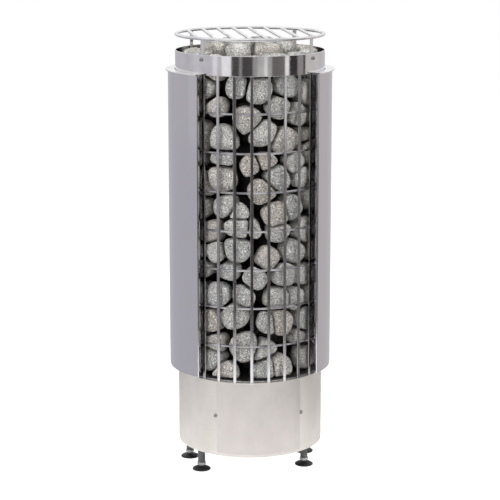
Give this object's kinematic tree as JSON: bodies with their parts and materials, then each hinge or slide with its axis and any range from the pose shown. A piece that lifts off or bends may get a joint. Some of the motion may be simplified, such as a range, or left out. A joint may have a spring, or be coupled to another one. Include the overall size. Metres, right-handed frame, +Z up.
{
  "type": "sauna heater",
  "caption": "Round tower electric sauna heater: stones in an open steel cage on a wiring base, with a half jacket, a lift-off rod guard and screw-out levelling feet.",
  "frame": {"origin": "on the floor, under the middle of the whole heater's outline, which is 10 mm behind the cage's axis", "axes": "+Z up; -Y is the open front of the jacket; +X is to the right as seen from the front"},
  "size_m": [0.3604, 0.341, 0.9535],
  "materials": {
    "polished_steel": "polished",
    "brushed_steel": "satin",
    "zinc_steel": "satin",
    "element_steel": "matte",
    "grey_plastic": "satin",
    "black_plastic": "satin",
    "ceramic": "satin",
    "stone": "matte"
  },
  "bodies": {
    "heater": {"base_shell": "brushed_steel", "base_top_ring": "brushed_steel", "base_screw_1": "zinc_steel", "base_screw_2": "zinc_steel", "base_screw_3": "zinc_steel", "base_screw_4": "zinc_steel", "base_screw_5": "zinc_steel", "base_floor_plate": "zinc_steel", "inlet_plate": "zinc_steel", "cable_gland": "black_plastic", "gland_nut": "black_plastic", "terminal_block": "ceramic", "heating_element_1": "element_steel", "heating_element_2": "element_steel", "heating_element_3": "element_steel", "element_holder": "zinc_steel", "stone_grate": "zinc_steel", "stone_cage": "polished_steel", "cage_ring_1": "polished_steel", "cage_ring_2": "polished_steel", "cage_ring_3": "polished_steel", "cage_ring_4": "polished_steel", "cage_ring_5": "polished_steel", "cage_ring_6": "polished_steel", "cage_ring_7": "polished_steel", "collar": "polished_steel", "guard_screw_1": "zinc_steel", "guard_screw_2": "zinc_steel", "guard_screw_3": "zinc_steel", "guard_screw_4": "zinc_steel", "jacket": "polished_steel", "jacket_rim": "polished_steel", "jacket_bracket_1": "zinc_steel", "jacket_bracket_2": "zinc_steel", "jacket_bracket_3": "zinc_steel", "jacket_bracket_4": "zinc_steel", "lock_nut_1": "zinc_steel", "lock_nut_2": "zinc_steel", "lock_nut_3": "zinc_steel", "lock_nut_4": "zinc_steel", "leg_sleeve_1": "grey_plastic", "leg_sleeve_2": "grey_plastic", "leg_sleeve_3": "grey_plastic", "leg_sleeve_4": "grey_plastic", "stone_course_1": "stone", "stone_course_2": "stone", "stone_course_3": "stone", "stone_course_4": "stone", "stone_course_5": "stone", "stone_course_6": "stone", "stone_course_7": "stone"},
    "guard": {"top_guard": "polished_steel"},
    "foot_1": {"foot_pad_1": "black_plastic"},
    "foot_2": {"foot_pad_2": "black_plastic"},
    "foot_3": {"foot_pad_3": "black_plastic"},
    "foot_4": {"foot_pad_4": "black_plastic"},
    "stud_1": {"foot_stud_1": "zinc_steel"},
    "stud_2": {"foot_stud_2": "zinc_steel"},
    "stud_3": {"foot_stud_3": "zinc_steel"},
    "stud_4": {"foot_stud_4": "zinc_steel"}
  },
  "joints": [
    {"name": "guard_lift", "type": "slide", "parent": "heater", "child": "guard", "axis": [0, 0, 1], "range_m": [0, 0.12]},
    {"name": "foot_1_height", "type": "slide", "parent": "heater", "child": "foot_1", "axis": [0, 0, -1], "range_m": [0, 0.02]},
    {"name": "foot_2_height", "type": "slide", "parent": "heater", "child": "foot_2", "axis": [0, 0, -1], "range_m": [0, 0.02]},
    {"name": "foot_3_height", "type": "slide", "parent": "heater", "child": "foot_3", "axis": [0, 0, -1], "range_m": [0, 0.02]},
    {"name": "foot_4_height", "type": "slide", "parent": "heater", "child": "foot_4", "axis": [0, 0, -1], "range_m": [0, 0.02]},
    {"name": "stud_1_turn", "type": "hinge", "parent": "foot_1", "child": "stud_1", "pos_m": [0.114, -0.056, 0.03], "axis": [0, 0, -1], "range_deg": [0, 4800]},
    {"name": "stud_2_turn", "type": "hinge", "parent": "foot_2", "child": "stud_2", "pos_m": [0.13, 0.034, 0.03], "axis": [0, 0, -1], "range_deg": [0, 4800]},
    {"name": "stud_3_turn", "type": "hinge", "parent": "foot_3", "child": "stud_3", "pos_m": [-0.13, 0.034, 0.03], "axis": [0, 0, -1], "range_deg": [0, 4800]},
    {"name": "stud_4_turn", "type": "hinge", "parent": "foot_4", "child": "stud_4", "pos_m": [-0.114, -0.056, 0.03], "axis": [0, 0, -1], "range_deg": [0, 4800]}
  ],
  "couplings": [
    {"joint": "stud_1_turn", "follows": "foot_1_height", "rad_per_m": 4188.8},
    {"joint": "stud_2_turn", "follows": "foot_2_height", "rad_per_m": 4188.8},
    {"joint": "stud_3_turn", "follows": "foot_3_height", "rad_per_m": 4188.8},
    {"joint": "stud_4_turn", "follows": "foot_4_height", "rad_per_m": 4188.8}
  ]
}
